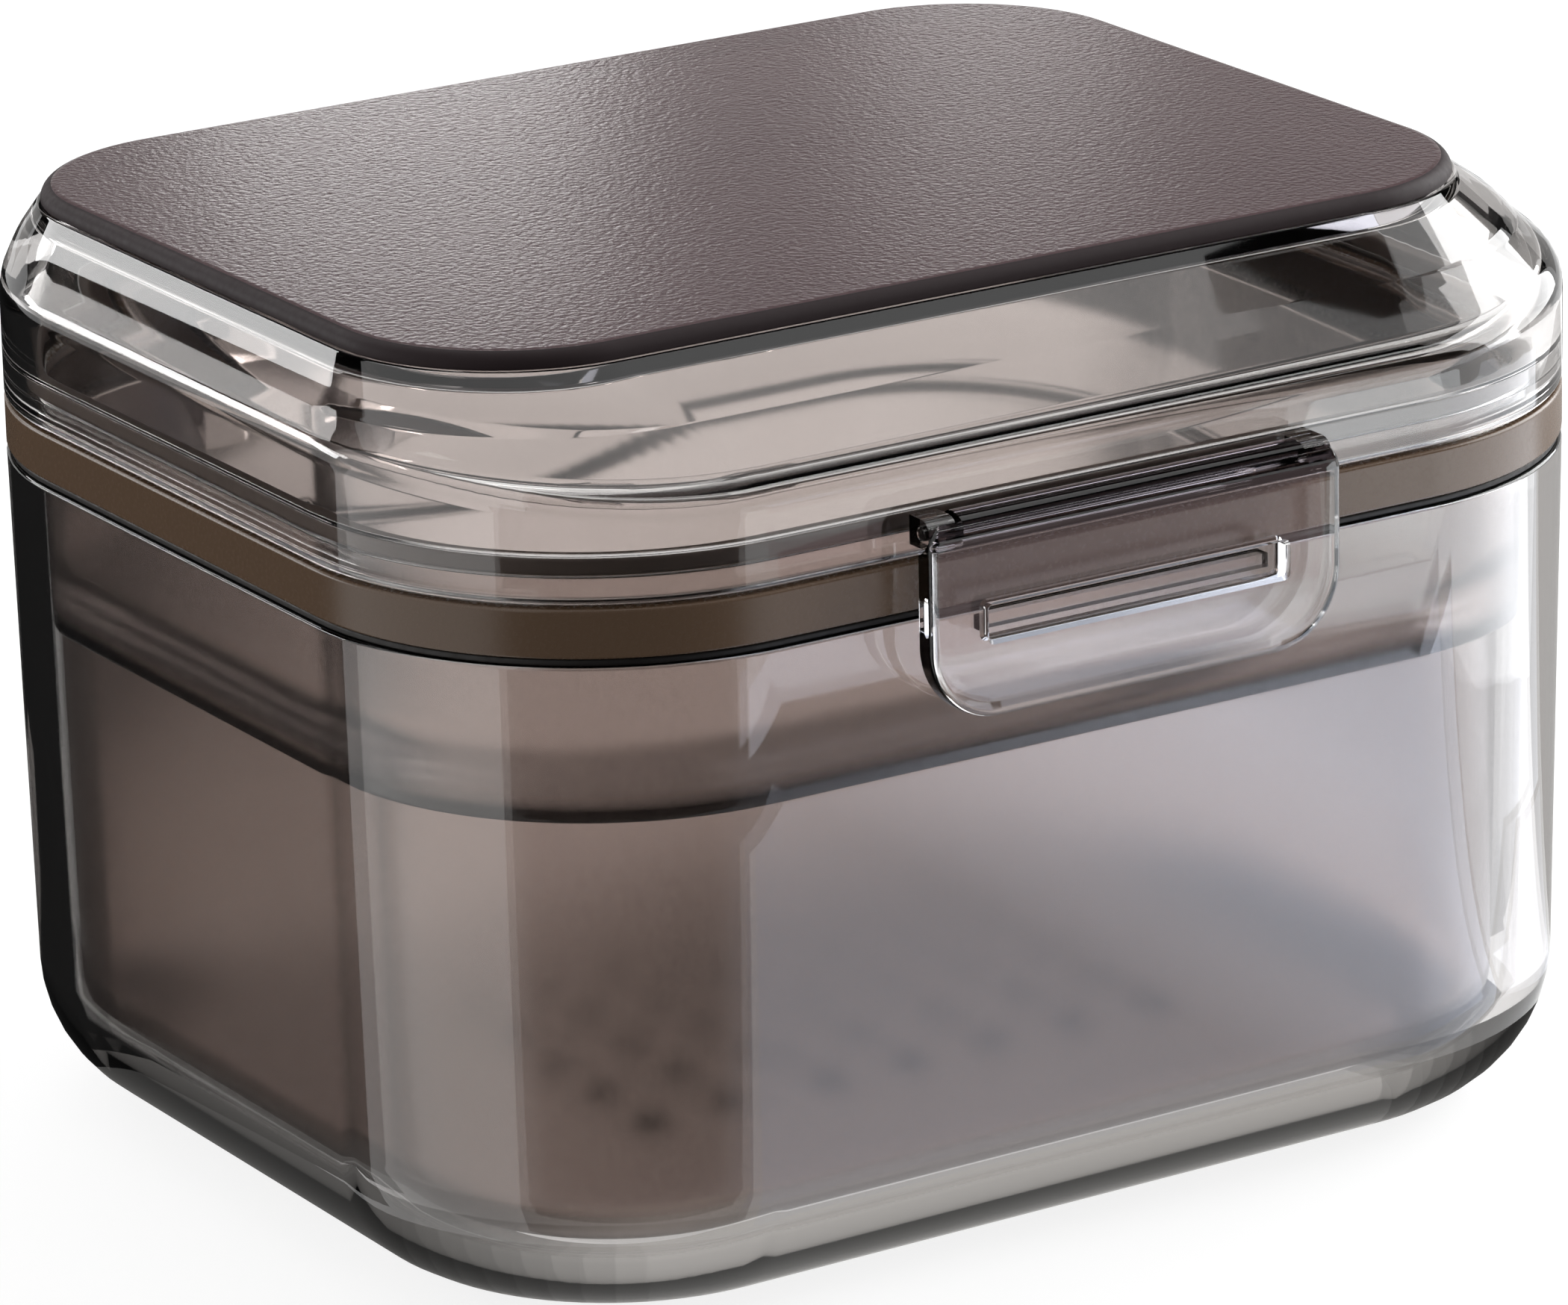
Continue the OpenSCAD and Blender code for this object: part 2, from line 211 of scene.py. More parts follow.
# How deep ribs and ears are rooted in a wall, and how far they stay off the seam
ROOT = 0.6
SEAM_GAP = 0.3
# Room between two pieces that rest on each other, so that their faces never coincide
SKIN_GAP = 0.03
# Where flat floors and tops are capped, measured from the corner axes
CAP_OUT = 4.0
# Where the flap's faces are capped, in from its outline, and how far its brow's cutter stays off its back
FLAP_CAP_IN = 1.4
BROW_BACK = 0.1
# Overshoot of a cutter past the face that it opens
OVER = 1.0

# Fineness of the meshes, and the angle from which an edge stays crisp
CORNER_STEPS = 22
LID_ARC_STEPS = 6
ARC_STEP = math.radians(9)
SHARP = math.radians(35)


# Outlines and sweeps

def rounded(points, closed=False, count_each=None):
    """Corner points (x, y, radius) as plain points, with each corner turned into an arc."""
    made = []
    count = len(points)
    for i, (x, y, radius) in enumerate(points):
        corner = Vector((x, y))
        at_end = not closed and i in (0, count - 1)
        if radius == 0 or at_end:
            made.append(corner)
            continue
        before = (Vector(points[i - 1][:2]) - corner).normalized()
        after = (Vector(points[(i + 1) % count][:2]) - corner).normalized()
        half = before.angle(after) / 2
        centre = corner + (before + after).normalized() * (radius / math.sin(half))
        first = corner + before * (radius / math.tan(half)) - centre
        last = corner + after * (radius / math.tan(half)) - centre
        turn = first.angle_signed(last)
        steps = count_each or max(2, round(abs(turn) / ARC_STEP))
        for k in range(steps + 1):
            made.append(centre + Matrix.Rotation(-turn * k / steps, 2) @ first)
    return made


def plan_stations(half_x, half_y, radius=0.0, low_radius=None):
    """Stations round a rounded rectangle: corner centre, direction out and corner radius."""
    low = radius if low_radius is None else low_radius
    stations = []
    for quarter, (sx, sy) in enumerate(((1, 1), (-1, 1), (-1, -1), (1, -1))):
        r = radius if sy > 0 else low
        shrink = r - radius
        centre = Vector((sx * (half_x - shrink), sy * (half_y - shrink)))
        for k in range(CORNER_STEPS + 1):
            angle = math.pi / 2 * (quarter + k / CORNER_STEPS)
            stations.append((centre, Vector((math.cos(angle), math.sin(angle))), r))
    return stations


def circle_stations(radius):
    """Stations round a circle."""
    count = 4 * CORNER_STEPS
    angles = [2 * math.pi * k / count for k in range(count)]
    return [(Vector((0, 0)), Vector((math.cos(a), math.sin(a))), radius) for a in angles]


CASE_PLAN = plan_stations(AXIS_X, AXIS_Y)


def new_piece(name, bm):
    """A bmesh as an object of the scene."""
    bmesh.ops.recalc_face_normals(bm, faces=bm.faces)
    mesh = bpy.data.meshes.new(name)
    bm.to_mesh(mesh)
    bm.free()
    piece = bpy.data.objects.new(name, mesh)
    bpy.context.scene.collection.objects.link(piece)
    return piece


def skin_rings(name, rings, closed):
    """Faces between rings of points in metres; rings of an open section get flat caps."""
    bm = bmesh.new()
    rings = [[bm.verts.new(point) for point in ring] for ring in rings]
    count = len(rings[0])
    for k, ring in enumerate(rings):
        after = rings[(k + 1) % len(rings)]
        for i in range(count if closed else count - 1):
            j = (i + 1) % count
            bm.faces.new((ring[i], after[i], after[j], ring[j]))
    if not closed:
        bm.faces.new([ring[0] for ring in rings])
        bm.faces.new([ring[-1] for ring in reversed(rings)])
    return new_piece(name, bm)


def sweep(name, stations, section, closed=False, place=TO_METRES):
    """A section of (out, up) points carried round the stations; an open section gets flat caps."""
    rings = []
    for centre, direction, radius in stations:
        ring = []
        for out, up in section:
            at = centre + direction * (radius + out)
            ring.append(place @ Vector((at.x, at.y, up)))
        rings.append(ring)
    return skin_rings(name, rings, closed)


def prism_x(name, outline, x, length):
    """A closed outline of (y, z) points drawn out along X from x."""
    bm = bmesh.new()
    ends = []
    for at in (x, x + length):
        ends.append([bm.verts.new(TO_METRES @ Vector((at, p[0], p[1]))) for p in outline])
    near, far = ends
    count = len(outline)
    for i in range(count):
        j = (i + 1) % count
        bm.faces.new((near[i], near[j], far[j], far[i]))
    bm.faces.new(near)
    bm.faces.new(list(reversed(far)))
    return new_piece(name, bm)


def rod_x(name, x, length, y, z, radius, edge=0.0):
    """A rod along X, with its end edges broken by a small chamfer."""
    section = [(0, 0), (0, length)]
    if edge:
        section = [(-edge, 0), (0, edge), (0, length - edge), (-edge, length)]
    turn = Matrix(((0, 0, 1, x), (1, 0, 0, y), (0, 1, 0, z), (0, 0, 0, 1)))
    return sweep(name, circle_stations(radius), section, place=TO_METRES @ turn)


def box(name, low, high):
    """A plain block between two corners, for joining to or cutting from a piece."""
    outline = [(low[1], low[2]), (high[1], low[2]), (high[1], high[2]), (low[1], high[2])]
    return prism_x(name, outline, low[0], high[0] - low[0])


def apply_modifiers(piece):
    """The piece's evaluated mesh takes the place of its mesh."""
    graph = bpy.context.evaluated_depsgraph_get()
    made = bpy.data.meshes.new_from_object(piece.evaluated_get(graph))
    piece.modifiers.clear()
    piece.data = made


def combine(piece, tools, operation):
    """Joins the tools to the piece, or cuts them from it."""
    for tool in tools:
        modifier = piece.modifiers.new("combine", "BOOLEAN")
        modifier.solver = "EXACT"
        modifier.operation = operation
        modifier.object = tool
    apply_modifiers(piece)
    for tool in tools:
        bpy.data.objects.remove(tool)


def smooth(piece):
    """Smooth shading that keeps flat faces flat and real edges crisp."""
    piece.data.shade_smooth()
    piece.data.set_sharp_from_angle(angle=SHARP)
    modifier = piece.modifiers.new("normals", "WEIGHTED_NORMAL")
    modifier.keep_sharp = True
    apply_modifiers(piece)


def settle(piece, body, node, slot, *materials):
    """A finished piece takes its materials and its body, and hides the CAD node that it stands for."""
    smooth(piece)
    for material in materials:
        piece.data.materials.append(material)
    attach(piece, body)
    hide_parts(node)


# Walls that lean

def case_in(z):
    """Distance of the tub's inner face from the corner axis at height z."""
    return CORNER_R - LEAN_IN - CASE_WALL + z * LEAN


def sleeve_out(z):
    """Distance of the basket's sleeve from the corner axis at height z."""
    return case_in(z) - BASKET_GAP


def low_out(z):
    """The same for the narrower wall under the step."""
    return sleeve_out(z) - STEP_IN


# Materials

CLEAR_COLOUR = (0.985, 0.98, 0.975)
CLEAR_ROUGHNESS = (0.01, 0.035)
CLEAR_IOR = 1.57
FROSTED_IOR = 1.5
# Dark smoky plastic of the latch pin, also used as the painted shade in the drain holes
SMOKE_AND_HOLE_SHADE_COLOURS = ((0.022, 0.018, 0.017), (0.03, 0.025, 0.023))
STEEL_COLOUR = (0.62, 0.62, 0.64)
STEEL_ROUGHNESS = (0.18, 0.35)
STEEL_LINES = 4000
STEEL_STRETCH = (0.02, 1, 1)
STEEL_DEPTH = 0.00001
# Noise: waves per metre and detail of the slow unevenness, detail of the grain, usual range of values
HAZE_SCALE = 60
HAZE_DETAIL = 4
GRAIN_DETAIL = 2
NOISE_RANGE = (0.3, 0.7)
# Painted shade on the flap's rolled top edge: where its tint darkens, below the pin, and to what colour
ROLL_SHADE_LOW = 1.6
ROLL_SHADE_HIGH = 0.8
ROLL_SHADE_COLOUR = (0.17, 0.13, 0.13)
# Painted shadow at the basket's step, on the sleeve's outer face: its heights from the step up, and the
# share of light that it keeps
STEP_SHADOW_LOW = -0.02
STEP_SHADOW_FADE = 0.9
STEP_SHADOW_HIGH = 2.6
STEP_SHADOW_LIGHT = 0.004


def new_material(name):
    """A Principled material with its nodes and links at hand."""
    material = bpy.data.materials.new(name)
    material.use_nodes = True
    nodes = material.node_tree.nodes
    return material, nodes, material.node_tree.links, nodes["Principled BSDF"]


def noise(nodes, links, scale, detail, stretch=(1, 1, 1)):
    """Noise in the object's own space: scale is waves per metre, stretch squeezes an axis."""
    place = nodes.new("ShaderNodeTexCoord")
    mapping = nodes.new("ShaderNodeMapping")
    mapping.inputs["Scale"].default_value = stretch
    texture = nodes.new("ShaderNodeTexNoise")
    texture.inputs["Scale"].default_value = scale
    texture.inputs["Detail"].default_value = detail
    links.new(place.outputs["Object"], mapping.inputs["Vector"])
    links.new(mapping.outputs["Vector"], texture.inputs["Vector"])
    return texture.outputs["Fac"]


def along(nodes, links, axis):
    """The place along one axis of the object's own space, in metres."""
    place = nodes.new("ShaderNodeTexCoord")
    split = nodes.new("ShaderNodeSeparateXYZ")
    links.new(place.outputs["Object"], split.inputs["Vector"])
    return split.outputs[axis]


def remap(nodes, links, value, source, target, kind="LINEAR"):
    """A value carried from the source range to the target range."""
    made = nodes.new("ShaderNodeMapRange")
    made.interpolation_type = kind
    limits = ("From Min", "From Max", "To Min", "To Max")
    for limit, amount in zip(limits, (*source, *target)):
        made.inputs[limit].default_value = amount
    links.new(value, made.inputs["Value"])
    return made.outputs["Result"]


def less(nodes, links, value, limit):
    """1 where a value is under the limit, and 0 elsewhere."""
    made = nodes.new("ShaderNodeMath")
    made.operation = "LESS_THAN"
    made.inputs[1].default_value = limit
    links.new(value, made.inputs[0])
    return made.outputs["Value"]


def largest(nodes, links, value, *others):
    """The largest of several values."""
    for other in others:
        either = nodes.new("ShaderNodeMath")
        either.operation = "MAXIMUM"
        links.new(value, either.inputs[0])
        links.new(other, either.inputs[1])
        value = either.outputs["Value"]
    return value


def mix(nodes, links, factor, first, second):
    """A colour between two colours, by a factor."""
    made = nodes.new("ShaderNodeMix")
    made.data_type = "RGBA"
    made.inputs["A"].default_value = (*first, 1)
    made.inputs["B"].default_value = (*second, 1)
    links.new(factor, made.inputs["Factor"])
    return made.outputs["Result"]


def bump(nodes, links, bsdf, height, distance):
    """A fine relief of the given depth in metres."""
    relief = nodes.new("ShaderNodeBump")
    relief.inputs["Distance"].default_value = distance
    links.new(height, relief.inputs["Height"])
    links.new(relief.outputs["Normal"], bsdf.inputs["Normal"])


def absorb(nodes, links, colour, density):
    """Tint that deepens with the thickness of the plastic."""
    volume = nodes.new("ShaderNodeVolumeAbsorption")
    volume.inputs["Color"].default_value = (*colour, 1)
    volume.inputs["Density"].default_value = density
    links.new(volume.outputs["Volume"], nodes["Material Output"].inputs["Volume"])


def clear_plastic(name, colour, density):
    """Polished clear plastic with a smoky tint and the faint haze of handling."""
    material, nodes, links, bsdf = new_material(name)
    bsdf.inputs["Base Color"].default_value = (*CLEAR_COLOUR, 1)
    bsdf.inputs["Transmission Weight"].default_value = 1.0
    bsdf.inputs["IOR"].default_value = CLEAR_IOR
    haze = noise(nodes, links, HAZE_SCALE, HAZE_DETAIL)
    links.new(remap(nodes, links, haze, NOISE_RANGE, CLEAR_ROUGHNESS), bsdf.inputs["Roughness"])
    absorb(nodes, links, colour, density)
    return material


def paint_shade_above(material, low, high, colour):
    """Paints shade into a clear plastic's colour, darker from one height to another, here on the flap's
    rolled top edge.
    """
    nodes, links = material.node_tree.nodes, material.node_tree.links
    grow = remap(nodes, links, along(nodes, links, "Z"), (low * MM, high * MM), (0, 1))
    links.new(mix(nodes, links, grow, CLEAR_COLOUR, colour), nodes["Principled BSDF"].inputs["Base Color"])


def grained_plastic(name, colours, roughness, grain, depth, stretch=(1, 1, 1)):
    """Plastic with a fine moulded grain and slight unevenness in its tint; returns its shader too."""
    material, nodes, links, bsdf = new_material(name)
    uneven = noise(nodes, links, HAZE_SCALE, HAZE_DETAIL, stretch)
    links.new(mix(nodes, links, uneven, *colours), bsdf.inputs["Base Color"])
    fine = noise(nodes, links, grain, GRAIN_DETAIL, stretch)
    links.new(remap(nodes, links, fine, NOISE_RANGE, roughness), bsdf.inputs["Roughness"])
    bump(nodes, links, bsdf, fine, depth)
    return material, nodes, links, bsdf


def frosted_plastic(name, colours, roughness, grain, depth, transmission, inside, stretch=(1, 1, 1)):
    """Grained plastic that lets blurred light through; inside is its tint and density."""
    made = grained_plastic(name, colours, roughness, grain, depth, stretch)
    _, nodes, links, bsdf = made
    bsdf.inputs["Transmission Weight"].default_value = transmission
    bsdf.inputs["IOR"].default_value = FROSTED_IOR
    absorb(nodes, links, *inside)
    return made


def from_axes(nodes, links):
    """Distance from the case's corner axes; the height falls out as it stays under a metre."""
    place = nodes.new("ShaderNodeTexCoord")
    out = place.outputs["Object"]
    axes = (AXIS_X * MM, AXIS_Y * MM, 1)
    for operation, amount in (("ABSOLUTE", None), ("SUBTRACT", axes), ("MAXIMUM", (0, 0, 0))):
        step = nodes.new("ShaderNodeVectorMath")
        step.operation = operation
        links.new(out, step.inputs[0])
        if amount:
            step.inputs[1].default_value = amount
        out = step.outputs["Vector"]
    length = nodes.new("ShaderNodeVectorMath")
    length.operation = "LENGTH"
    links.new(out, length.inputs[0])
    return length.outputs["Value"]


def paint_step_shadow(made, low, fade, high, least):
    """Paints a shadow into the tint over the thick web at the basket's step, crisp below and soft above;
    only the sleeve's outer face, seen from outside, darkens.
    """
    _, nodes, links, bsdf = made
    height = along(nodes, links, "Z")
    above = remap(nodes, links, height, (fade * MM, high * MM), (least, 1), "SMOOTHSTEP")
    below = less(nodes, links, height, low * MM)
    inside = less(nodes, links, from_axes(nodes, links), (sleeve_out(STEP_Z) - STEP_IN / 2) * MM)
    side = nodes.new("ShaderNodeNewGeometry")
    deep = nodes.new("ShaderNodeMix")
    deep.data_type = "RGBA"
    deep.blend_type = "MULTIPLY"
    deep.inputs["Factor"].default_value = 1.0
    links.new(bsdf.inputs["Base Color"].links[0].from_socket, deep.inputs["A"])
    links.new(largest(nodes, links, above, below, inside, side.outputs["Backfacing"]), deep.inputs["B"])
    links.new(deep.outputs["Result"], bsdf.inputs["Base Color"])


def matte_plastic(name, colours, roughness, grain, depth, gloss=0.5):
    """Opaque satin plastic or silicone with a fine grain, also used for painted shade."""
    material, _, _, bsdf = grained_plastic(name, colours, roughness, grain, depth)
    bsdf.inputs["Specular IOR Level"].default_value = gloss
    return material


def drawn_steel(name):
    """Drawn rod with fine lines along its length."""
    material, nodes, links, bsdf = new_material(name)
    bsdf.inputs["Base Color"].default_value = (*STEEL_COLOUR, 1)
    bsdf.inputs["Metallic"].default_value = 1.0
    lines = noise(nodes, links, STEEL_LINES, GRAIN_DETAIL, STEEL_STRETCH)
    links.new(remap(nodes, links, lines, NOISE_RANGE, STEEL_ROUGHNESS), bsdf.inputs["Roughness"])
    bump(nodes, links, bsdf, lines, STEEL_DEPTH)
    return material


CLEAR = clear_plastic("clear_smoke", colour=(0.45, 0.41, 0.39), density=90)
CLEAR_FLAP = clear_plastic("clear_flap", colour=(0.6, 0.58, 0.57), density=35)
# Painted shade on the flap's rolled top, which dims its glints
paint_shade_above(CLEAR_FLAP, LATCH_Z - ROLL_SHADE_LOW, LATCH_Z - ROLL_SHADE_HIGH, ROLL_SHADE_COLOUR)
BASKET_LOOK = frosted_plastic(
    "frosted_smoke",
    colours=((0.75, 0.662, 0.625), (0.81, 0.722, 0.685)),
    roughness=(0.17, 0.23),
    grain=2600,
    depth=0.0000015,
    transmission=0.94,
    inside=((0.36, 0.305, 0.29), 100),
    stretch=(1, 1, 0.5),
)
# Painted shadow at the basket's step
paint_step_shadow(BASKET_LOOK, STEP_Z + STEP_SHADOW_LOW, STEP_Z + STEP_SHADOW_FADE, STEP_Z + STEP_SHADOW_HIGH, STEP_SHADOW_LIGHT)
FROSTED = BASKET_LOOK[0]
PANEL = frosted_plastic(
    "frosted_panel",
    colours=((0.175, 0.110, 0.118), (0.215, 0.145, 0.152)),
    roughness=(0.20, 0.27),
    grain=2100,
    depth=0.000048,
    transmission=0.5,
    inside=((0.35, 0.30, 0.28), 200),
)[0]
# Darker copy of the panel's look for its rounded edge: painted shade
PANEL_EDGE_SHADE = matte_plastic(
    "panel_edge_shade",
    colours=((0.024, 0.016, 0.017), (0.030, 0.020, 0.022)),
    roughness=(0.5, 0.6),
    grain=1800,
    depth=0.00001,
    gloss=0.15,
)
BAND = matte_plastic(
    "band_brown",
    colours=((0.138, 0.085, 0.052), (0.158, 0.100, 0.063)),
    roughness=(0.24, 0.29),
    grain=3000,
    depth=0.0000008,
)
LID_SEAL = matte_plastic(
    "lid_silicone",
    colours=((0.16, 0.12, 0.10), (0.185, 0.14, 0.118)),
    roughness=(0.5, 0.65),
    grain=1500,
    depth=0.00001,
)
SEAL = matte_plastic(
    "seal_silicone",
    colours=((0.008, 0.006, 0.005), (0.012, 0.009, 0.008)),
    roughness=(0.5, 0.65),
    grain=1500,
    depth=0.00001,
)
PIN_SMOKE = matte_plastic("pin_smoke", SMOKE_AND_HOLE_SHADE_COLOURS, roughness=(0.2, 0.3), grain=3000, depth=0.00001)
# Near-black painted shade for the walls of the drain holes
HOLE_SHADE = matte_plastic("hole_shade", SMOKE_AND_HOLE_SHADE_COLOURS, roughness=(0.3, 0.4), grain=3000, depth=0.00001)
STEEL = drawn_steel("pin_steel")


# Tub

def barrel_outline(foot_z, seam_z, down):
    """Side view of a hinge ear or arm: rooted in the back wall and rounded about the pin."""
    tip = HINGE_Z - HINGE_R * down
    heel = HINGE_Z + HINGE_R * down
    return rounded([
        (BACK_Y - ROOT, foot_z, 0),
        (BACK_Y - ROOT, seam_z, 0),
        (HINGE_Y - HINGE_R, seam_z, 0),
        (HINGE_Y - HINGE_R, tip, HINGE_R * NEARLY),
        (HINGE_Y + HINGE_R, tip, HINGE_R * NEARLY),
        (HINGE_Y + HINGE_R, heel, HEEL_R),
    ], closed=True)


def make_tub():
    """The clear tub with its catch rib and hinge ears."""
    section = rounded([
        (CAP_OUT, CASE_FLOOR, 0),
        (case_in(CASE_FLOOR), CASE_FLOOR, FOOT_R - CASE_FLOOR),
        (case_in(CASE_H), CASE_H, TUB_LIP_IN_R),
        (CORNER_R, CASE_H, TUB_LIP_OUT_R),
        (CORNER_R - LEAN_IN, 0, FOOT_R),
        (CAP_OUT, 0, 0),
    ])
    tub = sweep("clear_tub", CASE_PLAN, section)
    catch_half = SLOT_W / 2 - CATCH_GAP
    catch = box("catch", (-catch_half, FRONT_Y - LATCH_OUT + CATCH_SHORT, CATCH_Z),
                (catch_half, FRONT_Y + ROOT, CATCH_Z + CATCH_H))
    ear = barrel_outline(HINGE_Z - EAR_H, CASE_H - SEAM_GAP, -1)
    ears = [prism_x("ear", ear, side * HINGE_X + end, EAR_W)
            for side in (-1, 1) for end in (-EAR_X - EAR_W, EAR_X)]
    combine(tub, [catch, *ears], "UNION")
    bores = [rod_x("bore", side * HINGE_X - EAR_BORE_HALF, 2 * EAR_BORE_HALF, HINGE_Y, HINGE_Z,
                   HINGE_PIN_R + HELD_FIT) for side in (-1, 1)]
    combine(tub, bores, "DIFFERENCE")
    settle(tub, "case", "outer_case", "clear_smoke", CLEAR)


# Basket

def make_basket():
    """The frosted basket with its brown band and drain holes."""
    floor_top = BASKET_Z + BASKET_FLOOR
    step_floor = STEP_Z + BASKET_WALL / 2
    ramp_top = step_floor + RAMP_H
    collar_out = LID_IN - COLLAR_GAP
    sleeve_in = sleeve_out(BAND_Z) - BASKET_WALL
    section = rounded([
        (CAP_OUT, floor_top, 0),
        (low_out(floor_top) - BASKET_WALL, floor_top, BASKET_R - BASKET_WALL),
        (low_out(step_floor) - BASKET_WALL, step_floor, RAMP_R),
        (sleeve_out(ramp_top) - BASKET_WALL, ramp_top, RAMP_R),
        (sleeve_in, COLLAR_TOP, COLLAR_EDGE_R),
        (collar_out, COLLAR_TOP, COLLAR_EDGE_R),
        (collar_out, BAND_TOP, BAND_EDGE_R),
        (CORNER_R, BAND_TOP, BAND_EDGE_R),
        (CORNER_R, BAND_Z, BAND_FOOT_R),
        (sleeve_out(BAND_Z), BAND_Z, SLEEVE_ROOT_R),
        (sleeve_out(STEP_Z), STEP_Z, STEP_EDGE_R),
        (low_out(STEP_Z), STEP_Z, STEP_EDGE_R),
        (low_out(BASKET_Z), BASKET_Z, BASKET_R),
        (CAP_OUT, BASKET_Z, 0),
    ])
    basket = sweep("frosted_basket", CASE_PLAN, section)
    columns = int(AXIS_X // DRAIN_PITCH)
    rows = int(AXIS_Y // DRAIN_PITCH)
    drains = []
    for i in range(-columns, columns + 1):
        for j in range(-rows, rows + 1):
            at = Matrix.Translation((i * DRAIN_PITCH, j * DRAIN_PITCH, BASKET_Z - OVER))
            through = [(0, 0), (0, BASKET_FLOOR + 2 * OVER)]
            drains.append(sweep("drain", circle_stations(DRAIN_D / 2), through, place=TO_METRES @ at))
    combine(basket, drains, "DIFFERENCE")
    settle(basket, "case", "drain_basket", "frosted_smoke", FROSTED, BAND, HOLE_SHADE)
    for face in basket.data.polygons:
        x, y, z = (c / MM for c in face.center)
        out = Vector((max(abs(x) - AXIS_X, 0), max(abs(y) - AXIS_Y, 0))).length
        in_band = BAND_Z - BAND_SLACK <= z <= BAND_TOP + BAND_SLACK and out > CORNER_R - BAND_DEPTH
        in_collar = z > BAND_Z and out < sleeve_in + COLLAR_SKIN
        if in_band or in_collar:
            face.material_index = 1
        # The holes' walls take the painted shade
        elif out == 0 and abs(face.normal.z) < HOLE_TILT and z < floor_top:
            face.material_index = 2


# Lid

def lid_profile(run, turn_z, bulge):
    """Section of the lid as (set-in, height, share of the slope), for one width of slope."""
    rise = LID_TOP - turn_z
    angle = math.atan2(rise, run)
    inner_turn = turn_z - LID_WALL * (1 - math.sin(angle)) / math.cos(angle)
    ceiling_in = LID_WALL + (CEILING_Z - inner_turn) / math.tan(angle)
    groove_in = LID_WALL - GROOVE_D
    groove_z = SEAT_Z - SEAL_H - SEAL_FIT
    section = rounded([
        (0, LID_Z, LID_LIP_OUT_R),
        (0, turn_z, SHOULDER_R),
        (run / 2 - bulge * math.sin(angle), turn_z + rise / 2 + bulge * math.cos(angle), BULGE_R),
        (run, LID_TOP, BROW_EDGE_R),
        (run + RIM_W, LID_TOP, RIM_TOP_R),
        (run + RIM_W, CEILING_Z, RIM_FOOT_R),
        (ceiling_in, CEILING_Z, CEILING_R),
        (LID_WALL, inner_turn, SHOULDER_R - LID_WALL),
        (LID_WALL, SEAT_Z, GROOVE_EDGE_R),
        (groove_in, SEAT_Z, GROOVE_EDGE_R),
        (groove_in, groove_z, GROOVE_EDGE_R),
        (LID_WALL, groove_z, GROOVE_EDGE_R),
        (LID_WALL, LID_Z, LID_LIP_IN_R),
    ], closed=True, count_each=LID_ARC_STEPS)
    made = []
    for inset, z in section:
        along = (inset * math.cos(angle) + (z - turn_z) * math.sin(angle)) / math.hypot(run, rise)
        share = min(max(along, 0), 1) if z > SEAT_Z + OVER else 0
        made.append((inset, z, share))
    return made


def lid_rings():
    """The lid's section at each station, blended from the side's to the front's round a corner."""
    side = lid_profile(SLOPE_IN, TURN_Z, SIDE_BULGE)
    front = lid_profile(FRONT_IN, FRONT_TURN_Z, FRONT_BULGE)
    rings = []
    for centre, direction, _ in CASE_PLAN:
        ahead = centre.y < 0
        blend = direction.y ** 2 if ahead else 0
        run = FRONT_IN if ahead else SLOPE_IN
        ring = []
        for (side_in, side_z, side_share), (front_in, front_z, front_share) in zip(side, front):
            inset, share = (front_in, front_share) if ahead else (side_in, side_share)
            r = CORNER_R - inset + share * (BROW_R - CORNER_R + run)
            x = math.copysign(CASE_W / 2 - side_in - r, centre.x) + direction.x * r
            y = math.copysign(CASE_D / 2 - inset - r, centre.y) + direction.y * r
            ring.append(TO_METRES @ Vector((x, y, side_z + (front_z - side_z) * blend)))
        rings.append(ring)
    return rings


def make_lid():
    """The clear lid with its lugs for the latch and its hinge arms."""
    lid = skin_rings("clear_lid", lid_rings(), closed=True)
    lug = rounded([
        (FRONT_Y + ROOT, LATCH_Z - LUG_R, 0),
        (FRONT_Y + ROOT, LATCH_Z + LUG_R, 0),
        (LATCH_Y - LUG_R, LATCH_Z + LUG_R, LUG_R * NEARLY),
        (LATCH_Y - LUG_R, LATCH_Z - LUG_R, LUG_R * NEARLY),
    ], closed=True)
    lugs = [prism_x("lug", lug, x, LUG_W) for x in (-LUG_END, LUG_END - LUG_W)]
    arm = barrel_outline(HINGE_Z + ARM_H, LID_Z + SEAM_GAP, 1)
    arms = [prism_x("arm", arm, side * HINGE_X - KNUCKLE_W / 2, KNUCKLE_W) for side in (-1, 1)]
    combine(lid, [*lugs, *arms], "UNION")
    bores = [rod_x("bore", side * HINGE_X - PIN_HALF, 2 * PIN_HALF, HINGE_Y, HINGE_Z,
                   HINGE_PIN_R + TURN_FIT) for side in (-1, 1)]
    bores.append(rod_x("bore", -LUG_END - OVER, 2 * (LUG_END + OVER), LATCH_Y, LATCH_Z,
                       LATCH_PIN_R + HELD_FIT))
    combine(lid, bores, "DIFFERENCE")
    settle(lid, "lid", "lid_shell", "clear_smoke", CLEAR)


def make_panel():
    """The frosted plate, with a plug that reaches into the lid."""
    out = BROW_R - PANEL_BACK
    plug_out = BROW_R - RIM_W - PANEL_GAP
    rest_z = LID_TOP + SKIN_GAP
    section = rounded([
        (CAP_OUT, PANEL_TOP, 0),
        (out, PANEL_TOP, PANEL_EDGE_R),
        (out, rest_z, PANEL_FOOT_R),
        (plug_out, rest_z, PLUG_ROOT_R),
        (plug_out, LID_TOP - PLUG_H, PLUG_EDGE_R),
        (CAP_OUT, LID_TOP - PLUG_H, 0),
    ])
    place = TO_METRES @ Matrix.Translation((0, BROW_MID, 0))
    panel = sweep("frosted_plate", plan_stations(BROW_X, BROW_Y), section, place=place)
    settle(panel, "lid", "lid_panel", "frosted_panel", PANEL, PANEL_EDGE_SHADE)
    # The panel's steep edge faces take the painted shade
    for face in panel.data.polygons:
        if abs(face.normal.z) < PANEL_SHADE_TILT:
            face.material_index = 1


# Seals

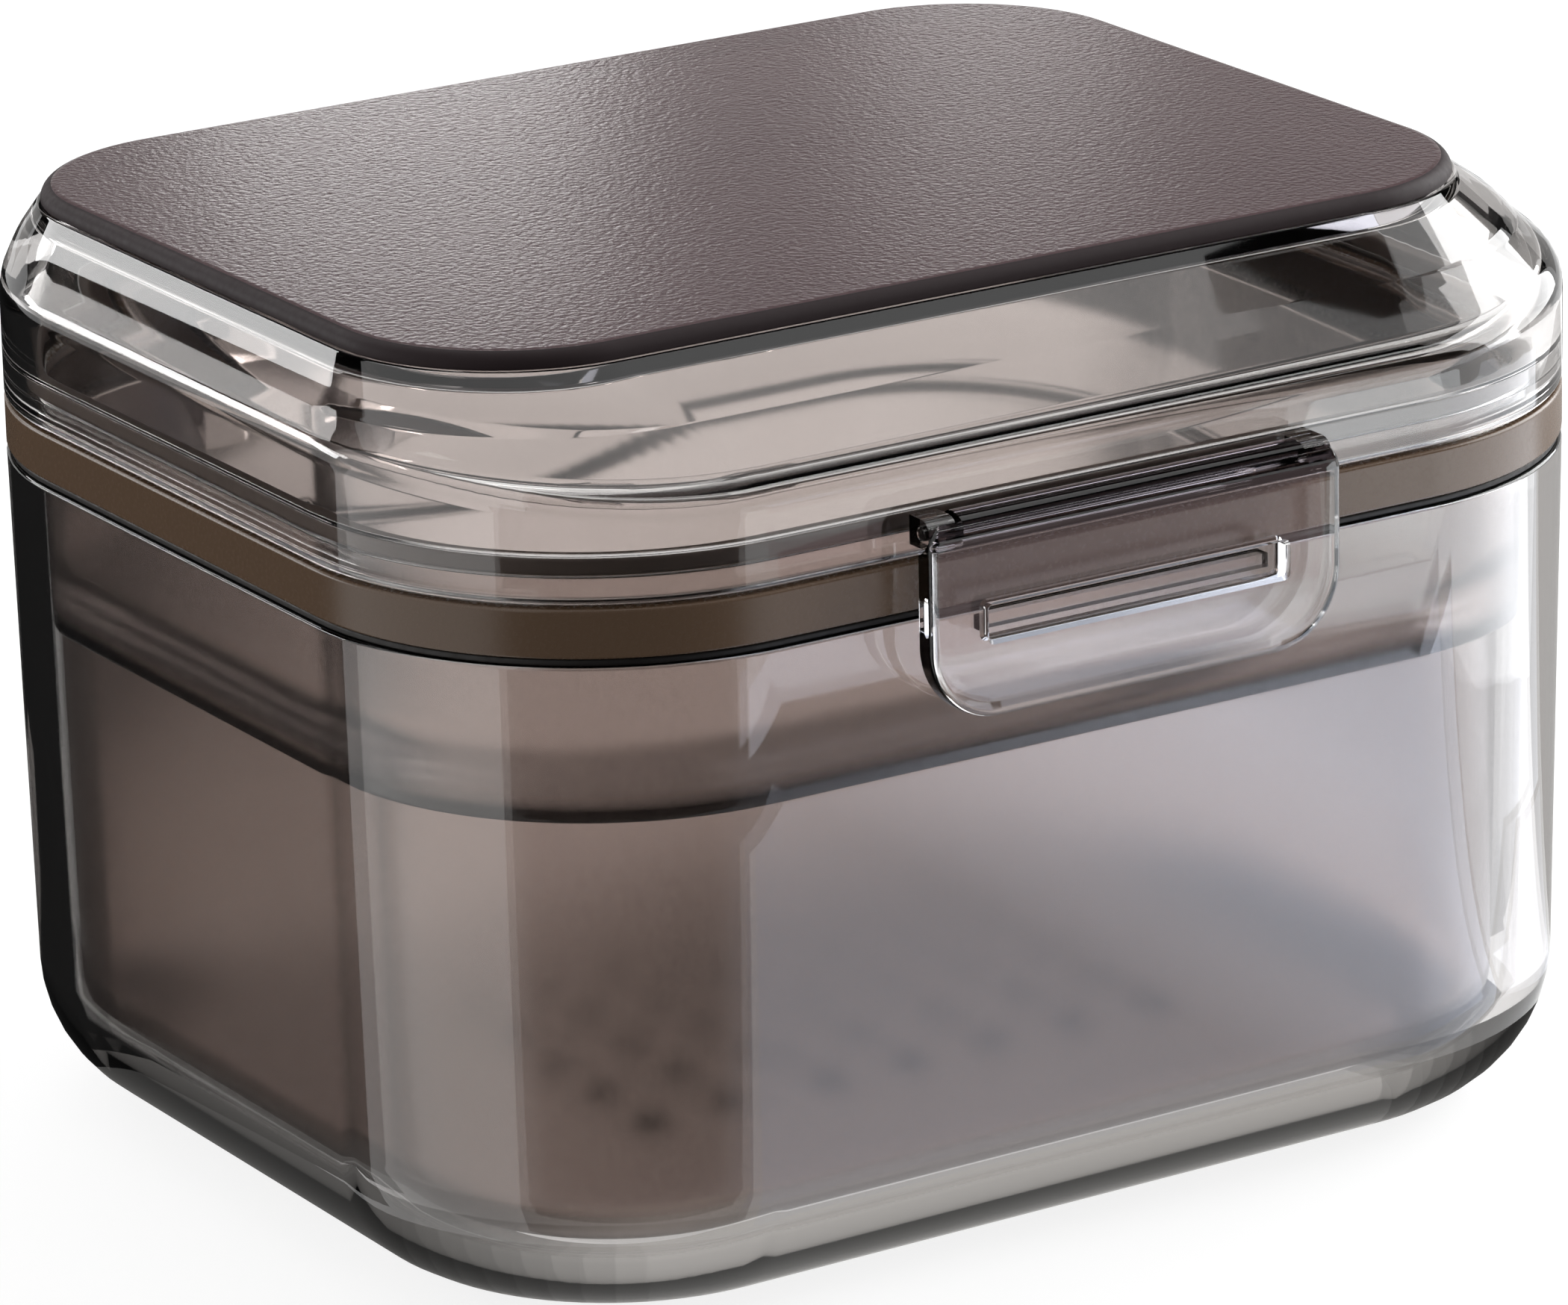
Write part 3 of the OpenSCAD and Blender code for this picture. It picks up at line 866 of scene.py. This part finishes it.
def make_ring(name, out, width, low, high, edge):
    """A soft ring round the case, with rounded edges."""
    section = rounded([
        (out, low, edge),
        (out, high, edge),
        (out - width, high, edge),
        (out - width, low, edge),
    ], closed=True)
    return sweep(name, CASE_PLAN, section, closed=True)


def make_seals():
    """The ring in the lid's groove and the ring on the tub's rim."""
    lid_ring = make_ring("lid_gasket", LID_IN + GROOVE_D - SEAL_FIT, SEAL_W,
                         SEAT_Z - SEAL_H, SEAT_Z - SKIN_GAP, LID_SEAL_R)
    settle(lid_ring, "lid", "lid_seal", "seal", LID_SEAL)
    rim_ring = make_ring("rim_gasket", CORNER_R - RIM_SEAL_BACK, CASE_WALL - RIM_SEAL_BACK,
                         CASE_H + SKIN_GAP, BAND_Z - SKIN_GAP, RIM_SEAL_R)
    settle(rim_ring, "case", "rim_seal", "seal", SEAL)


# Latch

def make_latch():
    """The flap with its slot, its knuckle on the pin and room for the lid's lugs."""
    half_x = LATCH_W / 2 - LATCH_TOP_R
    height = LATCH_DROP + LATCH_RISE
    half_y = height / 2 - LATCH_TOP_R
    stations = plan_stations(half_x, half_y, LATCH_TOP_R, LATCH_LOW_R)
    middle_z = LATCH_Z + LATCH_RISE - height / 2
    facing = Matrix(((1, 0, 0, 0), (0, 0, -1, LATCH_Y), (0, 1, 0, middle_z), (0, 0, 0, 1)))
    section = rounded([
        (-FLAP_CAP_IN, 0, 0),
        (0, 0, FLAP_BACK_R),
        (0, LATCH_T, FLAP_FRONT_R),
        (-FLAP_CAP_IN, LATCH_T, 0),
    ])
    flap = sweep("flap_latch", stations, section, place=TO_METRES @ facing)
    knuckle = rod_x("knuckle", -KNUCKLE_HALF, 2 * KNUCKLE_HALF, LATCH_Y, LATCH_Z, LATCH_KNUCKLE_R)
    combine(flap, [knuckle], "UNION")
    slot_plan = plan_stations(SLOT_W / 2 - SLOT_CORNER_R, SLOT_H / 2 - SLOT_CORNER_R, SLOT_CORNER_R)
    slot_place = Matrix.Translation((0, SLOT_Z + SLOT_H / 2 - middle_z, 0))
    slot_section = [(SLOT_EDGE, -2 * OVER), (SLOT_EDGE, 0), (0, SLOT_EDGE), (0, LATCH_T - SLOT_EDGE),
                    (SLOT_EDGE, LATCH_T), (SLOT_EDGE, LATCH_T + OVER)]
    slot = sweep("slot", slot_plan, slot_section, place=TO_METRES @ facing @ slot_place)
    top = LATCH_Z + LATCH_RISE
    front = LATCH_Y - LATCH_T
    brow = rounded([(front, top - LATCH_BROW_R - OVER, 0), (front, top, LATCH_BROW_R), (LATCH_Y, top, 0)])
    crest = [(front - OVER, top - LATCH_BROW_R), *brow[1:-1],
             (LATCH_Y - BROW_BACK, top + OVER), (front - OVER, top + OVER)]
    cutters = [slot, prism_x("brow", crest, -LATCH_W, 2 * LATCH_W)]
    pocket_r = LUG_R + LUG_GAP
    pocket_l = LATCH_W / 2 + OVER - KNUCKLE_HALF
    for x in (-LATCH_W / 2 - OVER, KNUCKLE_HALF):
        cutters.append(rod_x("pocket", x, pocket_l, LATCH_Y, LATCH_Z, pocket_r))
        cutters.append(box("pocket", (x, LATCH_Y - pocket_r, LATCH_Z),
                           (x + pocket_l, LATCH_Y + pocket_r, LATCH_Z + LATCH_RISE + OVER)))
    cutters.append(rod_x("bore", -LATCH_W / 2, LATCH_W, LATCH_Y, LATCH_Z, LATCH_PIN_R + TURN_FIT))
    combine(flap, cutters, "DIFFERENCE")
    settle(flap, "latch", "latch", "clear_smoke", CLEAR_FLAP)


# Pins

def make_pins():
    """The pin of the latch and the two pins of the hinge."""
    pin = rod_x("latch_rod", -LUG_END, 2 * LUG_END, LATCH_Y, LATCH_Z, LATCH_PIN_R, LATCH_PIN_EDGE)
    settle(pin, "lid", "latch_pin", "pin_smoke", PIN_SMOKE)
    for side, word in ((-1, "left"), (1, "right")):
        pin = rod_x("hinge_rod_" + word, side * HINGE_X - PIN_HALF, 2 * PIN_HALF, HINGE_Y, HINGE_Z,
                    HINGE_PIN_R, HINGE_PIN_EDGE)
        settle(pin, "case", "hinge_pin_" + word, "pin_steel", STEEL)


# Camera, solved from the photograph's outline

VIEW_AZIMUTH = math.radians(-32.02)
VIEW_ELEVATION = math.radians(18.2)
VIEW_ROLL = math.radians(-1.24)
VIEW_DISTANCE = 655.5
VIEW_AIM = Vector((0, 0, 33))
VIEW_RIGHT = 0.16
VIEW_UP = 0.44
FOCAL_PX = 12028.6
PHOTO_W = 2100
SENSOR_W = 36.0


def make_camera():
    """The camera at the photograph's viewing angle."""
    level = math.cos(VIEW_ELEVATION)
    back = Vector((math.sin(VIEW_AZIMUTH) * level, -math.cos(VIEW_AZIMUTH) * level,
                   math.sin(VIEW_ELEVATION)))
    right = Vector((math.cos(VIEW_AZIMUTH), math.sin(VIEW_AZIMUTH), 0))
    up = back.cross(right)
    across = right * math.cos(VIEW_ROLL) + up * math.sin(VIEW_ROLL)
    upright = up * math.cos(VIEW_ROLL) - right * math.sin(VIEW_ROLL)
    data = bpy.data.cameras.new("camera")
    data.sensor_width = SENSOR_W
    data.lens = FOCAL_PX / PHOTO_W * SENSOR_W
    camera = bpy.data.objects.new("camera", data)
    turn = Matrix((across, upright, back)).transposed().to_4x4()
    eye = VIEW_AIM + back * VIEW_DISTANCE - across * VIEW_RIGHT - upright * VIEW_UP
    camera.matrix_world = Matrix.Translation(eye * MM) @ turn
    bpy.context.scene.collection.objects.link(camera)
    bpy.context.scene.camera = camera


# Studio: the world and the floor, by the light they give and how bright they look, sizes in metres

WORLD_FILL = 0.45
WORLD_SEEN = 1.0
FLOOR_SIZE = 3.0
FLOOR_DROP = 0.0002
FLOOR_GREY = 0.25
FLOOR_ROUGHNESS = 0.9
FLOOR_SEEN = 0.84


def seen_directly(nodes, links):
    """1 for rays that look at the set: from the camera, off gloss or through glass."""
    path = nodes.new("ShaderNodeLightPath")
    rays = ("Is Camera Ray", "Is Glossy Ray", "Is Transmission Ray")
    return largest(nodes, links, *(path.outputs[ray] for ray in rays))


def make_world():
    """White surroundings that light the case less than they show."""
    world = bpy.data.worlds.new("studio")
    world.use_nodes = True
    bpy.context.scene.world = world
    nodes, links = world.node_tree.nodes, world.node_tree.links
    background = nodes["Background"]
    background.inputs["Color"].default_value = (1, 1, 1, 1)
    strength = remap(nodes, links, seen_directly(nodes, links), (0, 1), (WORLD_FILL, WORLD_SEEN))
    links.new(strength, background.inputs["Strength"])


def make_floor():
    """A pale floor that keeps the shadow and throws little light back."""
    bpy.ops.mesh.primitive_plane_add(size=FLOOR_SIZE, location=(0, 0, -FLOOR_DROP))
    floor = bpy.context.object
    floor.name = "floor"
    material, nodes, links, bsdf = new_material("pale_floor")
    bsdf.inputs["Base Color"].default_value = (FLOOR_GREY, FLOOR_GREY, FLOOR_GREY, 1)
    bsdf.inputs["Roughness"].default_value = FLOOR_ROUGHNESS
    bsdf.inputs["Specular IOR Level"].default_value = 0.0
    glow = nodes.new("ShaderNodeEmission")
    lift = remap(nodes, links, seen_directly(nodes, links), (0, 1), (0, FLOOR_SEEN))
    links.new(lift, glow.inputs["Strength"])
    both = nodes.new("ShaderNodeAddShader")
    links.new(bsdf.outputs["BSDF"], both.inputs[0])
    links.new(glow.outputs["Emission"], both.inputs[1])
    links.new(both.outputs["Shader"], nodes["Material Output"].inputs["Surface"])
    floor.data.materials.append(material)


# Softboxes: name, place and size in metres, power in watts and roll in degrees

SOFTBOXES = (
    ("key", (0.42, -0.05, 0.22), (0.45, 0.35), 2.5, 0),
    ("back_left", (0.125, 0.276, 0.126), (0.045, 0.036), 0.014, 0),
    ("back_right", (0.179, 0.242, 0.118), (0.028, 0.03), 0.004, 0),
    ("slope", (-0.090, 0.377, 0.260), (0.14, 0.12), 0.26, -17),
    ("crest_left", (-0.273, 0.322, 0.136), (0.24, 0.05), 0.38, 0),
    ("crest_front", (0.25, -0.317, 0.396), (0.30, 0.03), 0.11, 0),
    ("top", (0.15, 0.45, 0.55), (0.4, 0.4), 1.0, 0),
)


def make_softbox(name, at, size, power, roll):
    """An area light that is aimed at the middle of the case and rolled about its aim."""
    data = bpy.data.lights.new(name, "AREA")
    data.shape = "RECTANGLE"
    data.size, data.size_y = size
    data.energy = power
    light = bpy.data.objects.new(name, data)
    light.location = at
    aim = VIEW_AIM * MM
    turn = (Vector(at) - aim).to_track_quat("Z", "Y") @ Quaternion((0, 0, 1), math.radians(roll))
    light.rotation_euler = turn.to_euler()
    bpy.context.scene.collection.objects.link(light)


# Cards of the studio, in millimetres

def make_flag(name, faces, look):
    """A card that shows only in gloss and through glass."""
    mesh = bpy.data.meshes.new(name)
    points = [Vector(corner) * MM for face in faces for corner in face]
    starts = [sum(len(face) for face in faces[:k]) for k in range(len(faces))]
    mesh.from_pydata(points, [], [range(at, at + len(face)) for at, face in zip(starts, faces)])
    flag = bpy.data.objects.new(name, mesh)
    bpy.context.scene.collection.objects.link(flag)
    flag.visible_camera = False
    flag.visible_diffuse = False
    flag.visible_shadow = False
    mesh.materials.append(look)


def level_flag(name, look, height, *outlines):
    """A level card of one or more outlines of (x, y) points."""
    make_flag(name, [[(x, y, height) for x, y in outline] for outline in outlines], look)


def ring_outlines(inner, outer, first, last):
    """Outlines between two distances from the case's corner axes, for a run of stations."""
    outlines = []
    count = len(CASE_PLAN)
    for k in range(first, last):
        centre, direction, _ = CASE_PLAN[k % count]
        centre_b, direction_b, _ = CASE_PLAN[(k + 1) % count]
        outlines.append([centre + direction * inner, centre + direction * outer,
                         centre_b + direction_b * outer, centre_b + direction_b * inner])
    return outlines


def wall_faces(line, foot, top):
    """Upright faces along a line of (x, y) points."""
    return [[(*a, foot), (*b, foot), (*b, top), (*a, top)] for a, b in zip(line, line[1:])]


def card_look(name, colour, ramp=None):
    """A card of one even brightness, or one that grows along X: ramp is two places and two strengths."""
    material, nodes, links, _ = new_material(name)
    glow = nodes.new("ShaderNodeEmission")
    glow.inputs["Color"].default_value = (*colour, 1)
    if ramp:
        start, end, weak, strong = ramp
        grow = remap(nodes, links, along(nodes, links, "X"), (start * MM, end * MM), (weak, strong))
        links.new(grow, glow.inputs["Strength"])
    links.new(glow.outputs["Emission"], nodes["Material Output"].inputs["Surface"])
    return material


BLACK_CARD = card_look("black_card", (0.012, 0.012, 0.012))
GREY_CARD = card_look("grey_card", (0.55, 0.54, 0.53))
PATCH_CARD = card_look("patch_card", (1.0, 0.97, 0.94))
COOL_CARD = card_look("cool_card", (0.91, 0.98, 1.14), ramp=(28, 70, 1.0, 2.9))
PALE_CARD = card_look("pale_card", (1.9, 1.97, 2.25))
BRIGHT_CARD = card_look("bright_card", (1.9, 1.97, 2.1))
BAND_CARD = card_look("band_card", (0.95, 0.98, 1.0), ramp=(84, 110, 1.2, 3.8))
FAR_CARD = card_look("far_card", (3.3, 3.4, 3.55))
UPPER_CARD = card_look("upper_card", (2.8, 2.9, 3.05))
NEAR_CARD = card_look("near_card", (1.45, 1.47, 1.53))
LATCH_CARD = card_look("latch_card", (0.72, 0.55, 0.56))

# Heights of the level cards, which overlap in places
LAYER_FOOT = -0.05
LAYER_LOW = 0.05
LAYER_HIGH = 0.1
LAYER_OVERHEAD = 395
# Dark floor in front of the case and to its left
FLOOR_FRONT = ((-27, -50.6), (166, -610), (-500, -610), (-601, -259), (-52, -37.9))
FLOOR_LEFT = ((-56.2, -16.7), (-481, 395), (-300, 750), (370, 700), (-5, 75), (-30, 44.5), (-50.5, 22))
# Bright floor to the right, in two strips that share the middle line
UPPER_LINE = ((110, -116), (115, -92), (127, -71), (134, -47), (135, -30))
MIDDLE_LINE = ((134, -147), (158, -119), (176, -86), (185, -50), (186, -24))
FAR_LINE = ((240, -19), (239, -54), (227, -103), (204, -148), (171, -186))
# Ring of cards round the foot, a painted contact shadow on the floor: its reach from the corner axes, its
# tint, and a shade for each run of stations
FOOT_IN = 11
FOOT_OUT = 27
FOOT_TINT = (1, 0.98, 0.95)
FOOT_STATIONS = (23, 46, 48, 50, 52, 54, 56, 58, 60, 62, 70, 72, 74, 76, 78, 80, 82, 84, 92)
FOOT_SHADOW_SHADES = (0.14, 0.17, 0.20, 0.23, 0.27, 0.32, 0.38, 0.44, 0.50, 0.55, 0.40, 0.30, 0.23, 0.17, 0.12,
               0.10, 0.09, 0.09)
# Dark walls behind and in front, and the grey strip under the one behind
BACK_WALL = ((-481, 395), (-60, 520), (180, 330), (405.7, 159.3))
FRONT_WALL = ((-700, -500), (200, -760), (640, -420), (760, -100))
BACK_WALL_TOP = 600
FRONT_WALL_TOP = 1200
STRIP_FOOT = 60
STRIP_TOP = 164


def make_right_flags():
    """Cards that the right half of the case shows."""
    level_flag("flag_cool", COOL_CARD, LAYER_LOW, ((-26, -48), (62, -48), (118, -128), (4, -128)))
    level_flag("flag_pale", PALE_CARD, LAYER_LOW, ((8, -148), (90, -148), (92, -164), (14, -164)))
    level_flag("flag_right", BRIGHT_CARD, LAYER_LOW,
               ((64, -48), (100, -44), (108, -18), (225, -18), (225, -148), (166, -148), (132, -146)))
    level_flag("flag_right_near", NEAR_CARD, LAYER_LOW, ((62, -46), (98, -42), (106, -16), (60, -16)))
    level_flag("flag_right_edge", GREY_CARD, LAYER_LOW,
               ((60, -12), (225, -14), (225, 95), (95, 95), (70, 15)))
    level_flag("flag_upper", UPPER_CARD, LAYER_HIGH, (*UPPER_LINE, *reversed(MIDDLE_LINE)))
    level_flag("flag_far", FAR_CARD, LAYER_HIGH, (*MIDDLE_LINE, *FAR_LINE))


def make_detail_flags():
    """Cards for the latch, the band, the lid's front slope and the basket's step."""
    level_flag("flag_latch", LATCH_CARD, LAYER_LOW, ((52, -166), (101, -166), (124, -196), (66, -196)))
    level_flag("flag_band", BAND_CARD, LAYER_LOW,
               ((90, -148), (165, -148), (220, -225), (147, -225), (126, -197), (103, -166)))
    level_flag("flag_window", BLACK_CARD, LAYER_OVERHEAD,
               ((246, 88), (257, 90), (268, 88.5), (277, 81), (284, 71),
                (282, 65), (279, 62), (263, 61), (254, 70), (245, 81)))
    level_flag("flag_over_step", UPPER_CARD, LAYER_LOW,
               ((60, -147.5), (87, -138.5), (131, -134.5), (134, -147.5)))
    level_flag("flag_step", BLACK_CARD, LAYER_LOW,
               ((0, -128), (130, -128), (131, -133), (86, -137), (52, -148), (6, -148)),
               ((108, 96), (200, 120), (240, 220), (140, 205)))


def make_foot_shadow_flags():
    """A graded ring of dark cards round the foot: painted contact shadow on the floor, seen in gloss and
    through glass.
    """
    for first, last, shade in zip(FOOT_STATIONS, FOOT_STATIONS[1:], FOOT_SHADOW_SHADES):
        look = card_look("foot_shadow_card_" + str(first), [part * shade for part in FOOT_TINT])
        level_flag("flag_foot_shadow_" + str(first), look, LAYER_FOOT,
                   *ring_outlines(FOOT_IN, FOOT_OUT, first, last))


def make_wall_flags():
    """The patch at the left, the dark walls and the strip."""
    level_flag("flag_left_patch", PATCH_CARD, LAYER_HIGH,
               ((-28, 50), (-8, 60), (4, 86), (0, 106), (-14, 100), (-25, 72)))
    walls = wall_faces(BACK_WALL, STRIP_TOP, BACK_WALL_TOP) + wall_faces(FRONT_WALL, 0, FRONT_WALL_TOP)
    make_flag("flag_walls", walls, BLACK_CARD)
    make_flag("flag_strip", wall_faces(BACK_WALL[1:], STRIP_FOOT, STRIP_TOP), GREY_CARD)


make_tub()
make_basket()
make_lid()
make_panel()
make_seals()
make_latch()
make_pins()
make_camera()
make_world()
make_floor()
for softbox in SOFTBOXES:
    make_softbox(*softbox)
level_flag("flag_floor", BLACK_CARD, LAYER_LOW, FLOOR_FRONT, FLOOR_LEFT)
make_right_flags()
make_detail_flags()
make_foot_shadow_flags()
make_wall_flags()
bpy.context.scene.view_settings.view_transform = "Standard"
